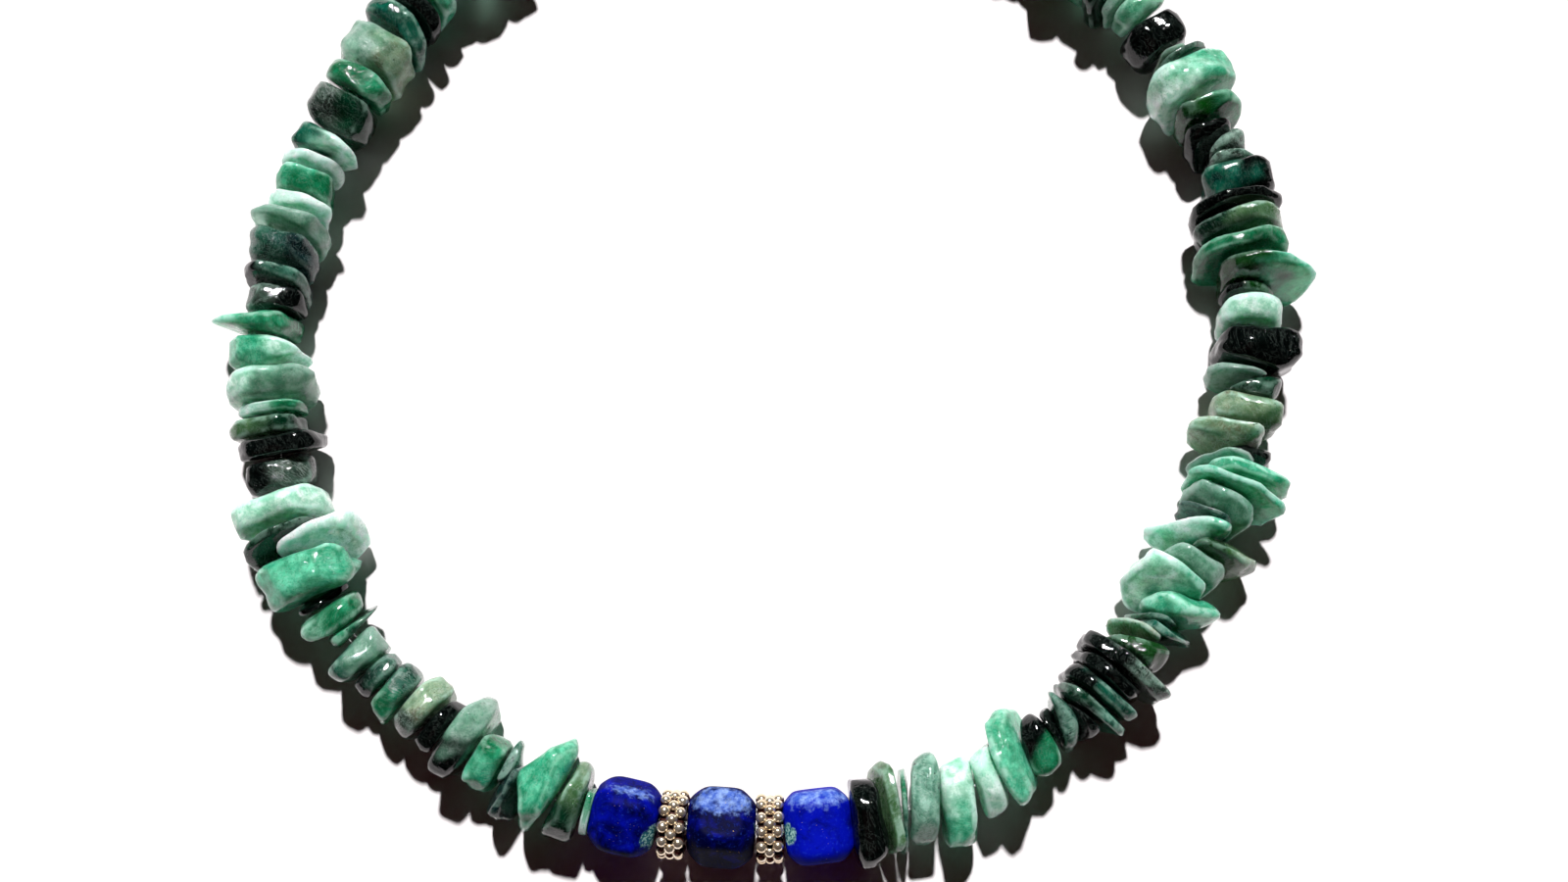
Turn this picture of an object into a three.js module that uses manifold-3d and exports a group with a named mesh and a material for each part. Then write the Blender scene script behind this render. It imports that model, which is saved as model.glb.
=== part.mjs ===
// A stretch anklet: tumbled emerald chips on a clear elastic cord, with a front row of three faceted
// lapis lazuli cubes and two gold granulated spacers. It lies closed and flat on a table.
// Millimetres, +Z up, the cubes at the front (-Y), the table at Z = 0.

import * as THREE from 'three';
import { ConvexGeometry } from 'three/addons/geometries/ConvexGeometry.js';
import { mergeVertices } from 'three/addons/utils/BufferGeometryUtils.js';
import Module from 'manifold-3d';

const wasm = await Module();
wasm.setup();

// ---- driving dimensions ----

// The cord's way round, counterclockwise from above, starting under the middle cube: angle from the
// front in degrees, distance from the middle, height over the table. A nearly round loop, charted by
// hand at even angles to the half millimetre: tightest at the right, fullest at the back. At the front
// it climbs and dips so that each cube clears the table.
const LOOP_STATIONS = [
  [-5, 37, 3.05],
  [0, 37, 2.8],
  [5, 37, 2.5],
  [15, 37, 2.75],
  [30, 37, 2.8],
  [60, 37, 2.8],
  [90, 38, 2.8],
  [120, 39.5, 2.8],
  [150, 40.5, 2.8],
  [180, 40.5, 2.8],
  [210, 40, 2.8],
  [240, 38.5, 2.8],
  [270, 38.5, 2.8],
  [300, 39, 2.8],
  [330, 38, 2.8],
  [345, 37.5, 2.9],
];
const PATH_DIVISIONS = 3000;

const CORD_RADIUS = 0.3;
const CORD_SIDES = 8;
const STEP_DIAMETERS = 2; // length of one step of the cord, in its own diameters
const THREAD_RADIUS = 0.5; // where a run of chips is joined along its thread
const HOLE_RADIUS = 0.62;
const HOLE_SIDES = 8;
const HOLE_LENGTH = 14; // longer than any bead
const BEAD_GAP = 0.12; // between neighbours on the cord
const CORD_END_GAP = 0.25; // between the cord's ends and the runs of joined chips

const CUBE_PITCH = 7.25;
const CUBE_CORNER_CUT = 2.1;
// Place on the cord, size along, across and up, edge cut, and turn about the cord in degrees.
const CUBES = {
  left: { along: -CUBE_PITCH, size: [4.75, 4.8, 4.8], edgeCut: 0.85, turn: 18 },
  middle: { along: 0, size: [4.75, 5, 5], edgeCut: 0.85, turn: -30 },
  right: { along: CUBE_PITCH, size: [4.8, 5.3, 5], edgeCut: 0.95, turn: 0 },
};

const GRANULE_RADIUS = 0.46;
const GRANULES_PER_RING = 12;
const RINGS_PER_SPACER = 3;
const RING_PITCH = 0.65;
const RING_RADIUS = 2.1;
const SPACER_CORE_RADIUS = 1.95;
const SPACER_CORE_SIDES = 24;

const SINGLE_CHIPS = { right: 18, left: 17 }; // chips beside the cubes, each a solid of its own
const RUN_COUNT = 8;

// How much of a chip's two ends is cut away: the share of the half width and the share of the reach.
const CHIP_SHAPES = {
  slab: { outWidth: 0.3, outDepth: 0.14, inWidth: 0.3, inDepth: 0.14 },
  block: { outWidth: 0.42, outDepth: 0.26, inWidth: 0.42, inDepth: 0.26 },
  oval: { outWidth: 0.6, outDepth: 0.42, inWidth: 0.6, inDepth: 0.42 },
  ball: { outWidth: 0.5, outDepth: 0.34, inWidth: 0.5, inDepth: 0.34 },
  disc: { outWidth: 0.4, outDepth: 0.16, inWidth: 0.4, inDepth: 0.16 },
  tipOut: { outWidth: 0.74, outDepth: 0.8, inWidth: 0.5, inDepth: 0.3 },
  tipIn: { outWidth: 0.42, outDepth: 0.25, inWidth: 0.74, inDepth: 0.8 },
};

const TONES = {
  mint: 0x6fc3a0,
  pale: 0xbfe6d2,
  emerald: 0x148a52,
  grass: 0x1c5a24,
  deep: 0x0c4a30,
  teal: 0x2a8573,
  slate: 0x2b4a4c,
  olive: 0x84956a,
  sage: 0x7fb292,
  clear: 0xb4c9bd,
  smoke: 0x7c9690,
  cream: 0xc9cdb4,
  grey: 0x6d746e,
  black: 0x0a0f0e,
};
const RUN_COLOUR = 0x3f8f6b;
const LAPIS_COLOUR = 0x14209a;
const GOLD_COLOUR = 0xd9b26a;
const CORD_COLOUR = 0xd8dde0;
const STONE_FINISH = { roughness: 0.3, metalness: 0 };
const LAPIS_FINISH = { roughness: 0.25, metalness: 0 };
const GOLD_FINISH = { roughness: 0.25, metalness: 1 };
const CORD_FINISH = { roughness: 0.35, metalness: 0 };

// Chips from the right-hand cube away to the back, one row each:
// length on the cord, lean of the far side (outer end away from the cubes, degrees),
// reach outwards, reach inwards, shape, tone, and for some the tip of the far side (top away).
const RIGHT_CHIPS = [
  [2.4, -3, 3.3, 3.0, 'oval', 'black'],
  [1.3, -13, 2.8, 3.4, 'oval', 'olive'],
  [0.75, -16, 3.2, 2.9, 'disc', 'emerald', -4],
  [2.5, -20, 2.8, 3.0, 'ball', 'smoke', 0],
  [2.7, -12, 3.9, 2.1, 'slab', 'mint', 0],
  [2.1, -8, 2.8, 2.2, 'slab', 'pale'],
  [2.25, -15, 2.8, 3.3, 'block', 'mint'],
  [2.5, 0, 2.1, 1.9, 'ball', 'emerald'],
  [0.65, -24, 2.1, 1.7, 'ball', 'black'],
  [1.4, -21, 1.9, 3.8, 'block', 'smoke'],
  [0.7, 14, 2.3, 2.6, 'disc', 'black'],
  [1.25, 12, 3.4, 2.5, 'disc', 'deep'],
  [1.6, 5, 3.1, 2.7, 'slab', 'deep'],
  [1.2, 5, 2.7, 2.9, 'disc', 'black'],
  [1.5, 4, 4.0, 3.3, 'disc', 'black'],
  [2.0, 33, 2.2, 2.5, 'ball', 'grass'],
  [0.7, -10, 1.4, 2.9, 'ball', 'cream'],
  [0.85, 26, 3.1, 1.2, 'ball', 'teal'],
  [0.55, 18, 1.2, 3.4, 'ball', 'smoke'],
  [2.1, 28, 3.4, 1.7, 'oval', 'mint'],
  [1.55, -8, 1.3, 4.2, 'ball', 'mint'],
  [1.95, 0, 2.1, 2.5, 'ball', 'clear'],
  [1.4, 42, 4.1, 1.1, 'ball', 'sage'],
  [1.4, -3, 1.3, 4.1, 'tipIn', 'mint'],
  [0.6, -12, 1.2, 2.9, 'ball', 'slate'],
  [1.7, -8, 2.5, 2.6, 'oval', 'sage'],
  [0.9, 0, 4.4, 3.1, 'disc', 'mint'],
  [1.6, 12, 4.4, 2.1, 'disc', 'teal'],
  [0.7, -12, 1.2, 4.0, 'ball', 'clear'],
  [0.85, 30, 2.4, 1.2, 'ball', 'black'],
  [1.4, -3, 1.6, 4.1, 'oval', 'cream'],
  [2.4, -5, 2.6, 2.5, 'ball', 'olive'],
  [1.5, 26, 2.1, 1.8, 'ball', 'deep'],
  [0.65, -8, 1.2, 3.4, 'ball', 'slate'],
  [3.3, 0, 3.2, 2.8, 'ball', 'black'],
  [2.45, 0, 2.2, 2.7, 'ball', 'pale'],
  [1.05, -8, 1.5, 2.4, 'block', 'deep'],
  [1.8, -6, 4.4, 2.5, 'tipOut', 'grass'],
  [1.9, 0, 2.7, 4.0, 'slab', 'emerald'],
  [1.9, 0, 2.9, 3.7, 'slab', 'olive'],
  [1.25, -3, 3.1, 3.9, 'disc', 'black'],
  [2.9, 0, 3.2, 2.2, 'ball', 'teal'],
  [1.1, -5, 2.6, 1.3, 'tipOut', 'grey'],
  [1.3, 30, 2.0, 1.2, 'block', 'grey'],
  [1.3, -10, 1.3, 2.5, 'block', 'black'],
  [2.0, 0, 3.0, 2.4, 'tipOut', 'emerald'],
  [3.35, 0, 3.4, 3.1, 'slab', 'mint'],
  [0.7, 0, 3.0, 1.6, 'disc', 'deep'],
  [0.6, -5, 1.5, 1.4, 'ball', 'olive'],
  [3.1, 0, 2.4, 2.5, 'block', 'black'],
  [2.2, 0, 2.3, 1.8, 'ball', 'sage'],
  [1.1, 0, 2.1, 2.1, 'ball', 'clear'],
  [1.55, 0, 2.5, 2.9, 'oval', 'deep'],
];

// Chips from the left-hand cube away to the back, in the same columns.
const LEFT_CHIPS = [
  [0.7, 0, 1.9, 1.4, 'ball', 'emerald'],
  [2.25, 11, 2.9, 2.7, 'slab', 'olive'],
  [2.9, -24, 3.0, 4.0, 'tipOut', 'mint', 0],
  [1.0, 28, 3.4, 1.2, 'ball', 'slate', 5],
  [0.65, -5, 1.2, 2.3, 'ball', 'smoke'],
  [2.5, 0, 2.3, 1.8, 'block', 'emerald'],
  [2.45, 0, 3.0, 3.3, 'oval', 'black'],
  [1.5, 5, 2.2, 2.1, 'disc', 'black'],
  [2.35, 0, 2.3, 2.6, 'ball', 'olive'],
  [2.05, -4, 2.6, 1.8, 'block', 'teal'],
  [1.7, 5, 2.2, 1.5, 'ball', 'smoke'],
  [2.5, -8, 2.8, 1.9, 'block', 'slate'],
  [1.05, 5, 1.4, 3.1, 'tipIn', 'emerald'],
  [2.15, 0, 2.7, 2.1, 'oval', 'emerald'],
  [0.85, 0, 2.0, 1.9, 'ball', 'black'],
  [3.7, 10, 3.5, 3.5, 'slab', 'mint', 22],
  [1.1, -14, 1.2, 4.9, 'ball', 'clear', 24],
  [1.05, -3, 4.1, 2.1, 'oval', 'grass', 14],
  [2.75, -3, 4.0, 3.0, 'slab', 'pale', 4],
  [2.65, 0, 2.5, 2.6, 'ball', 'black'],
  [1.75, 0, 2.6, 3.7, 'block', 'black'],
  [1.7, 0, 3.0, 2.3, 'block', 'olive'],
  [1.0, 0, 2.3, 2.6, 'slab', 'sage'],
  [2.5, -5, 3.1, 3.5, 'oval', 'clear'],
  [2.75, 5, 2.9, 3.0, 'tipIn', 'sage'],
  [1.9, -5, 4.2, 1.7, 'tipOut', 'sage'],
  [2.1, 0, 2.1, 2.4, 'ball', 'black'],
  [1.55, 0, 2.6, 2.4, 'tipOut', 'slate'],
  [2.75, 5, 2.6, 2.6, 'block', 'slate'],
  [1.5, -8, 3.0, 2.8, 'block', 'clear'],
  [1.5, 0, 2.2, 2.9, 'slab', 'pale'],
  [2.35, -8, 2.1, 2.3, 'slab', 'emerald'],
  [1.25, -5, 2.4, 2.2, 'slab', 'pale'],
  [2.2, 7, 2.2, 2.8, 'tipIn', 'pale'],
  [3.4, 0, 2.3, 2.7, 'ball', 'grey'],
  [2.3, 0, 2.6, 2.5, 'ball', 'emerald'],
  [3.35, 0, 2.8, 2.9, 'slab', 'olive'],
  [2.35, 8, 2.5, 2.8, 'ball', 'teal'],
  [1.7, 0, 1.9, 2.6, 'ball', 'black'],
  [2.0, 0, 2.4, 2.4, 'oval', 'mint'],
];

// The chips between those two rows vary as the others do.
const BACK_CHIPS = { shortest: 1.1, longest: 3.3, lean: 16, nearest: 2.1, farthest: 3.5, last: 3.6 };
const BACK_SHAPES = ['slab', 'block', 'oval', 'ball', 'disc', 'tipOut', 'tipIn', 'block', 'ball'];
const BACK_TONES = ['mint', 'deep', 'emerald', 'black', 'pale', 'teal', 'olive', 'grass', 'clear', 'slate'];

const CHIP_HEIGHT = { share: 0.86, least: 1.5, most: 3 }; // upward reach, by the chip's mean reach
const FAN_LEAN = 14; // degrees between a chip's two seams past which it widens to one end
const CHIP_TURN = 10; // degrees about the cord, either way
// Neighbours tip over along the cord together, like fallen dominoes: the most that a seam tips, and
// how much more than the seam before it for each millimetre between them, in degrees.
const CHIP_TIP = { most: 22, change: 9 };
const SEEN_HEIGHT = 1.2; // over the cord, where the chips meet as seen from above
const FACET_TILT = 0.2; // most sideways part of the top facet's normal
const EDGE_CUT = { least: 0.3, most: 0.62 }; // share of a reach that an edge facet takes
const TOP_CUT = { width: 0.55, depth: 0.3 }; // shares of the half width and of the height
const NARROWEST_CUT_END = 0.3; // an end narrower than this keeps its corners
const FLOOR_CLEARANCE = { least: 0.03, most: 0.35 };
const SEED = 20;

const VERTEX_SNAP = 0.02; // corners closer than this are one corner
const MERGE_TOLERANCE = 1e-4;
const PLANE_SLACK = 1e-6;
const LEAST_DETERMINANT = 1e-4; // three planes with less meet in no clear point

// ---- small helpers ----

const random = seededRandom(SEED);

function seededRandom(seed) {
  let state = seed;
  return () => {
    state = (state + 0x6d2b79f5) | 0;
    let mixed = Math.imul(state ^ (state >>> 15), 1 | state);
    mixed = (mixed + Math.imul(mixed ^ (mixed >>> 7), 61 | mixed)) ^ mixed;
    return ((mixed ^ (mixed >>> 14)) >>> 0) / 4294967296;
  };
}

function between(least, most) {
  return least + (most - least) * random();
}

function pick(list) {
  return list[Math.floor(random() * list.length)];
}

const radians = THREE.MathUtils.degToRad;

// ---- closed meshes and solids ----

function toSolid(geometry) {
  const bare = geometry.clone();
  for (const name of Object.keys(bare.attributes)) {
    if (name !== 'position') bare.deleteAttribute(name);
  }
  const merged = mergeVertices(bare, MERGE_TOLERANCE);
  const vertProperties = new Float32Array(merged.attributes.position.array);
  const triVerts = new Uint32Array(merged.index.array);
  return new wasm.Manifold(new wasm.Mesh({ numProp: 3, vertProperties, triVerts }));
}

function toGeometry(solid) {
  const mesh = solid.getMesh();
  const geometry = new THREE.BufferGeometry();
  geometry.setAttribute('position', new THREE.BufferAttribute(new Float32Array(mesh.vertProperties), 3));
  geometry.setIndex(new THREE.BufferAttribute(new Uint32Array(mesh.triVerts), 1));
  return geometry;
}

function joined(geometries) {
  return geometries.map(toSolid).reduce((whole, next) => whole.add(next));
}

// A stone as its cutter makes it: the space inside all of its planes, each with a normal and a reach.
function cutStone(planes) {
  const corners = [];
  const crossBC = new THREE.Vector3();
  for (let a = 0; a < planes.length; a += 1) {
    for (let b = a + 1; b < planes.length; b += 1) {
      for (let c = b + 1; c < planes.length; c += 1) {
        crossBC.crossVectors(planes[b].normal, planes[c].normal);
        const determinant = planes[a].normal.dot(crossBC);
        if (Math.abs(determinant) < LEAST_DETERMINANT) continue;
        const corner = crossBC.clone().multiplyScalar(planes[a].reach);
        corner.addScaledVector(planes[c].normal.clone().cross(planes[a].normal), planes[b].reach);
        corner.addScaledVector(planes[a].normal.clone().cross(planes[b].normal), planes[c].reach);
        corner.divideScalar(determinant);
        const inside = planes.every((plane) => plane.normal.dot(corner) <= plane.reach + PLANE_SLACK);
        const fresh = corners.every((other) => other.distanceTo(corner) > VERTEX_SNAP);
        if (inside && fresh) corners.push(corner);
      }
    }
  }
  return new ConvexGeometry(corners);
}

// The plane square to the section of axes u and v that holds the section's points p and q.
function cutThrough(u, v, p, q) {
  const normal = u.clone().multiplyScalar(q[1] - p[1]).addScaledVector(v, p[0] - q[0]);
  const reach = (q[1] - p[1]) * p[0] + (p[0] - q[0]) * p[1];
  const size = normal.length() * Math.sign(reach);
  return { normal: normal.divideScalar(size), reach: reach / size };
}

// ---- the cord's way round ----

function stationPoint([angle, distance, height]) {
  return new THREE.Vector3(
    distance * Math.sin(radians(angle)),
    -distance * Math.cos(radians(angle)),
    height,
  );
}

const loop = new THREE.CatmullRomCurve3(LOOP_STATIONS.map(stationPoint), true, 'centripetal');
loop.arcLengthDivisions = PATH_DIVISIONS;
const loopLength = loop.getLength();

function share(along) {
  return THREE.MathUtils.euclideanModulo(along / loopLength, 1);
}

function pointAt(along) {
  return loop.getPointAt(share(along));
}

function headingAt(along) {
  const tangent = loop.getTangentAt(share(along));
  return Math.atan2(tangent.y, tangent.x);
}

function cordBetween(from, to, radius) {
  const steps = Math.ceil((to - from) / (STEP_DIAMETERS * 2 * radius));
  const points = [];
  for (let step = 0; step <= steps; step += 1) {
    points.push(pointAt(from + ((to - from) * step) / steps));
  }
  const section = new THREE.Shape();
  for (let side = 0; side < CORD_SIDES; side += 1) {
    const turn = (side / CORD_SIDES) * Math.PI * 2;
    const x = radius * Math.cos(turn);
    const y = radius * Math.sin(turn);
    if (side === 0) section.moveTo(x, y);
    else section.lineTo(x, y);
  }
  const extrudePath = new THREE.CatmullRomCurve3(points);
  return new THREE.ExtrudeGeometry(section, { steps, extrudePath, bevelEnabled: false });
}

function hole() {
  const along = new THREE.CylinderGeometry(HOLE_RADIUS, HOLE_RADIUS, HOLE_LENGTH, HOLE_SIDES);
  return toSolid(along.rotateZ(Math.PI / 2));
}

// ---- chips ----

// Chips lie side by side on the cord, each between two seams that it shares with its neighbours.
function seam(along, lean, tip) {
  return { along, lean: radians(lean), tip: radians(tip) };
}

// Where the cord goes through a seam.
function onCord({ along, lean, tip }) {
  return along - (SEEN_HEIGHT * Math.tan(tip)) / Math.cos(lean);
}

// The seam's plane in the frame of a bead: x along the cord, y inwards, z up.
function seamPlane({ along, lean, tip }, bead, side) {
  const heading = headingAt(along) - bead.heading;
  const normal = new THREE.Vector3(Math.cos(lean), Math.sin(lean), -Math.tan(tip)).normalize();
  normal.applyAxisAngle(new THREE.Vector3(0, 0, 1), heading).multiplyScalar(side);
  const offset = pointAt(along).sub(bead.point);
  offset.applyAxisAngle(new THREE.Vector3(0, 0, 1), -bead.heading);
  offset.z += SEEN_HEIGHT;
  return { normal, reach: normal.dot(offset) - BEAD_GAP / 2 };
}

function beadAt(along) {
  return { along, point: pointAt(along), heading: headingAt(along) };
}

// A plane of an upright chip after the chip is tipped over, by that much for each unit of height.
function tipped({ normal, reach }, slope) {
  const turned = normal.clone();
  turned.z -= normal.x * slope;
  const size = turned.length();
  return { normal: turned.divideScalar(size), reach: reach / size };
}

// Facets that take the corners off one end of the chip, in plan.
function endCuts(x, outwards, reach, near, far, widthShare, depthShare) {
  const nearEdge = (depth) => near.base + near.slope * depth;
  const farEdge = (depth) => far.base + far.slope * depth;
  const width = farEdge(reach) - nearEdge(reach);
  if (width < NARROWEST_CUT_END) return [];
  const depth = reach * (1 - depthShare);
  const inset = (width / 2) * widthShare;
  return [
    cutThrough(x, outwards, [nearEdge(reach) + inset, reach], [nearEdge(depth), depth]),
    cutThrough(x, outwards, [farEdge(reach) - inset, reach], [farEdge(depth), depth]),
  ];
}

function chipGeometry(chip) {
  const { bead, seams, out, inn } = chip;
  const shape = CHIP_SHAPES[chip.shape];
  const mean = (out + inn) / 2;
  const up = THREE.MathUtils.clamp(mean * CHIP_HEIGHT.share, CHIP_HEIGHT.least, CHIP_HEIGHT.most);
  const turn = radians(between(-CHIP_TURN, CHIP_TURN));
  const x = new THREE.Vector3(1, 0, 0);
  const outwards = new THREE.Vector3(0, -Math.cos(turn), Math.sin(turn));
  const upwards = new THREE.Vector3(0, Math.sin(turn), Math.cos(turn));
  const inwards = outwards.clone().negate();
  const downwards = upwards.clone().negate();
  const half = chip.length / 2;
  const near = { base: -half, slope: Math.tan(seams[1].lean) };
  const far = { base: half, slope: Math.tan(seams[2].lean) };
  const nearIn = { base: -half, slope: -near.slope };
  const farIn = { base: half, slope: -far.slope };

  const planes = [
    { normal: outwards, reach: out },
    { normal: inwards, reach: inn },
    { normal: downwards, reach: up },
  ];
  const tilt = new THREE.Vector3(between(-FACET_TILT, FACET_TILT), between(-FACET_TILT, FACET_TILT), 0);
  planes.push({ normal: upwards.clone().add(tilt).normalize(), reach: up });
  planes.push(...endCuts(x, outwards, out, near, far, shape.outWidth, shape.outDepth));
  planes.push(...endCuts(x, inwards, inn, nearIn, farIn, shape.inWidth, shape.inDepth));
  for (const [sideways, reach] of [[outwards, out], [inwards, inn]]) {
    for (const vertical of [upwards, downwards]) {
      const flat = reach * (1 - between(EDGE_CUT.least, EDGE_CUT.most));
      const steep = up * (1 - between(EDGE_CUT.least, EDGE_CUT.most));
      planes.push(cutThrough(sideways, vertical, [flat, up], [reach, steep]));
    }
  }
  if (Math.abs(seams[2].lean - seams[1].lean) < radians(FAN_LEAN)) {
    const lean = (seams[1].lean + seams[2].lean) / 2;
    const across = new THREE.Vector3(Math.cos(lean), Math.sin(lean), 0);
    planes.push({ normal: across, reach: half - BEAD_GAP / 2 });
    planes.push({ normal: across.clone().negate(), reach: half - BEAD_GAP / 2 });
  }
  for (const side of [-1, 1]) {
    const edge = half * side;
    const inset = edge * (1 - TOP_CUT.width);
    planes.push(cutThrough(x, upwards, [inset, up], [edge, up * (1 - TOP_CUT.depth)]));
  }
  const slope = (Math.tan(seams[1].tip) + Math.tan(seams[2].tip)) / 2;
  const floor = {
    normal: new THREE.Vector3(0, 0, -1),
    reach: bead.point.z - between(FLOOR_CLEARANCE.least, FLOOR_CLEARANCE.most),
  };
  return cutStone([
    ...seams.map((one, index) => seamPlane(one, bead, index < 2 ? -1 : 1)),
    ...planes.map((plane) => tipped(plane, slope)),
    floor,
  ]);
}

// Rows of the table laid along the cord, away from the cubes on one side, the first flat on its cube.
function layChips(rows, start, direction, cubeHeading) {
  const edges = [{ along: start, lean: cubeHeading - headingAt(start), tip: 0 }];
  let along = start;
  let tip = 0;
  for (const [length, lean, , , , , ownTip] of rows) {
    along += length * direction;
    const change = CHIP_TIP.change * length;
    tip = THREE.MathUtils.clamp(tip + between(-change, change), -CHIP_TIP.most, CHIP_TIP.most);
    tip = ownTip ?? tip;
    edges.push(seam(along, lean * direction, tip * direction));
  }
  return rows.map(([length, , out, inn, shape, tone], index) => {
    const middle = (onCord(edges[index]) + onCord(edges[index + 1])) / 2;
    const around = [index - 1, index, index + 1, index + 2].map((place) => edges[place]);
    around[0] = around[0] ?? { ...edges[0] };
    around[3] = around[3] ?? { ...edges[edges.length - 1] };
    if (direction < 0) around.reverse();
    return { length, out, inn, shape, tone, bead: beadAt(middle), seams: around };
  });
}

function backRows(length) {
  const rows = [];
  let left = length;
  while (left > BACK_CHIPS.last) {
    const row = [
      between(BACK_CHIPS.shortest, BACK_CHIPS.longest),
      between(-BACK_CHIPS.lean, BACK_CHIPS.lean),
      between(BACK_CHIPS.nearest, BACK_CHIPS.farthest),
      between(BACK_CHIPS.nearest, BACK_CHIPS.farthest),
      pick(BACK_SHAPES),
      pick(BACK_TONES),
    ];
    rows.push(row);
    left -= row[0];
  }
  rows.push([left, 0, BACK_CHIPS.nearest, BACK_CHIPS.nearest, 'ball', 'mint']);
  return rows;
}

function rowLength(rows) {
  return rows.reduce((sum, [length]) => sum + length, 0);
}

// ---- the pieces ----

const anklet = new THREE.Group();

function addMesh(name, geometry, color, finish) {
  const mesh = new THREE.Mesh(geometry, new THREE.MeshStandardMaterial({ color, ...finish }));
  mesh.name = name;
  anklet.add(mesh);
  return mesh;
}

function placeOnCord(mesh, bead, turn = 0) {
  mesh.position.copy(bead.point);
  mesh.rotation.set(radians(turn), 0, bead.heading, 'ZYX');
}

function cubeGeometry({ size, edgeCut }) {
  const half = new THREE.Vector3(...size).divideScalar(2);
  const planes = [];
  for (const x of [-1, 0, 1]) {
    for (const y of [-1, 0, 1]) {
      for (const z of [-1, 0, 1]) {
        const axes = Math.abs(x) + Math.abs(y) + Math.abs(z);
        if (axes === 0) continue;
        const cut = [0, 0, edgeCut, CUBE_CORNER_CUT][axes];
        const side = new THREE.Vector3(x, y, z);
        const corner = half.clone().multiply(side).dot(side);
        planes.push({ normal: side.normalize(), reach: (corner - cut) / Math.sqrt(axes) });
      }
    }
  }
  return toGeometry(toSolid(cutStone(planes)).subtract(hole()));
}

function spacerGeometry() {
  const coreLength = RING_PITCH * (RINGS_PER_SPACER - 1) + GRANULE_RADIUS;
  const core = new THREE.CylinderGeometry(
    SPACER_CORE_RADIUS,
    SPACER_CORE_RADIUS,
    coreLength,
    SPACER_CORE_SIDES,
  );
  const parts = [core.rotateZ(Math.PI / 2)];
  for (let ring = 0; ring < RINGS_PER_SPACER; ring += 1) {
    const across = (ring - (RINGS_PER_SPACER - 1) / 2) * RING_PITCH;
    for (let index = 0; index < GRANULES_PER_RING; index += 1) {
      const turn = ((index + (ring % 2) / 2) / GRANULES_PER_RING) * Math.PI * 2;
      const granule = new THREE.IcosahedronGeometry(GRANULE_RADIUS, 0);
      parts.push(granule.translate(across, RING_RADIUS * Math.cos(turn), RING_RADIUS * Math.sin(turn)));
    }
  }
  return toGeometry(joined(parts).subtract(hole()));
}

for (const [name, cube] of Object.entries(CUBES)) {
  const mesh = addMesh(`lapis_${name}`, cubeGeometry(cube), LAPIS_COLOUR, LAPIS_FINISH);
  placeOnCord(mesh, beadAt(cube.along), cube.turn);
  if (cube.turn === 0) mesh.position.z = cube.size[2] / 2;
}
for (const [name, along] of [['left', -CUBE_PITCH / 2], ['right', CUBE_PITCH / 2]]) {
  const spacer = addMesh(`spacer_${name}`, spacerGeometry(), GOLD_COLOUR, GOLD_FINISH);
  placeOnCord(spacer, beadAt(along));
}

const rowEnds = {
  right: CUBES.right.along + CUBES.right.size[0] / 2 + BEAD_GAP / 2,
  left: CUBES.left.along - CUBES.left.size[0] / 2 - BEAD_GAP / 2,
};
const shownLength = rowLength(RIGHT_CHIPS) + rowLength(LEFT_CHIPS);
const backChips = backRows(loopLength + rowEnds.left - rowEnds.right - shownLength);
// Every chip in its order on the cord, from the right-hand cube round the back to the left-hand one:
// laid away from the cubes on both sides, with the back chips following those on the right.
const rightRows = [...RIGHT_CHIPS, ...backChips];
const rightChips = layChips(rightRows, rowEnds.right, 1, headingAt(CUBES.right.along));
const leftChips = layChips(LEFT_CHIPS, loopLength + rowEnds.left, -1, headingAt(CUBES.left.along));

function addSingle(name, chip) {
  const solid = toSolid(chipGeometry(chip)).subtract(hole());
  placeOnCord(addMesh(name, toGeometry(solid), TONES[chip.tone], STONE_FINISH), chip.bead);
}

function numbered(name, index) {
  return `${name}_${String(index + 1).padStart(2, '0')}`;
}

rightChips.slice(0, SINGLE_CHIPS.right).forEach((chip, index) => {
  addSingle(numbered('chip_right', index), chip);
});
leftChips.slice(0, SINGLE_CHIPS.left).forEach((chip, index) => {
  addSingle(numbered('chip_left', index), chip);
});

const runChips = [...rightChips.slice(SINGLE_CHIPS.right), ...leftChips.slice(SINGLE_CHIPS.left).reverse()];
for (let run = 0; run < RUN_COUNT; run += 1) {
  const first = Math.round((run * runChips.length) / RUN_COUNT);
  const last = Math.round(((run + 1) * runChips.length) / RUN_COUNT);
  const chips = runChips.slice(first, last);
  const stones = chips.map((chip) => {
    const { point, heading } = chip.bead;
    return chipGeometry(chip).rotateZ(heading).translate(point.x, point.y, point.z);
  });
  const thread = cordBetween(chips[0].bead.along, chips[chips.length - 1].bead.along, THREAD_RADIUS);
  addMesh(`chip_run_${run + 1}`, toGeometry(joined([thread, ...stones])), RUN_COLOUR, STONE_FINISH);
}

const cordEnds = {
  right: onCord(rightChips[SINGLE_CHIPS.right].seams[1]),
  left: onCord(leftChips[SINGLE_CHIPS.left].seams[2]) - loopLength,
};
const cord = cordBetween(cordEnds.left + CORD_END_GAP, cordEnds.right - CORD_END_GAP, CORD_RADIUS);
addMesh('elastic_cord', cord, CORD_COLOUR, CORD_FINISH);

// The origin is the middle of the anklet's box, on the table.
anklet.updateMatrixWorld(true);
const box = new THREE.Box3().setFromObject(anklet, true);
const middle = box.getCenter(new THREE.Vector3());
anklet.position.set(-middle.x, -middle.y, -box.min.z);

export default anklet;
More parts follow.
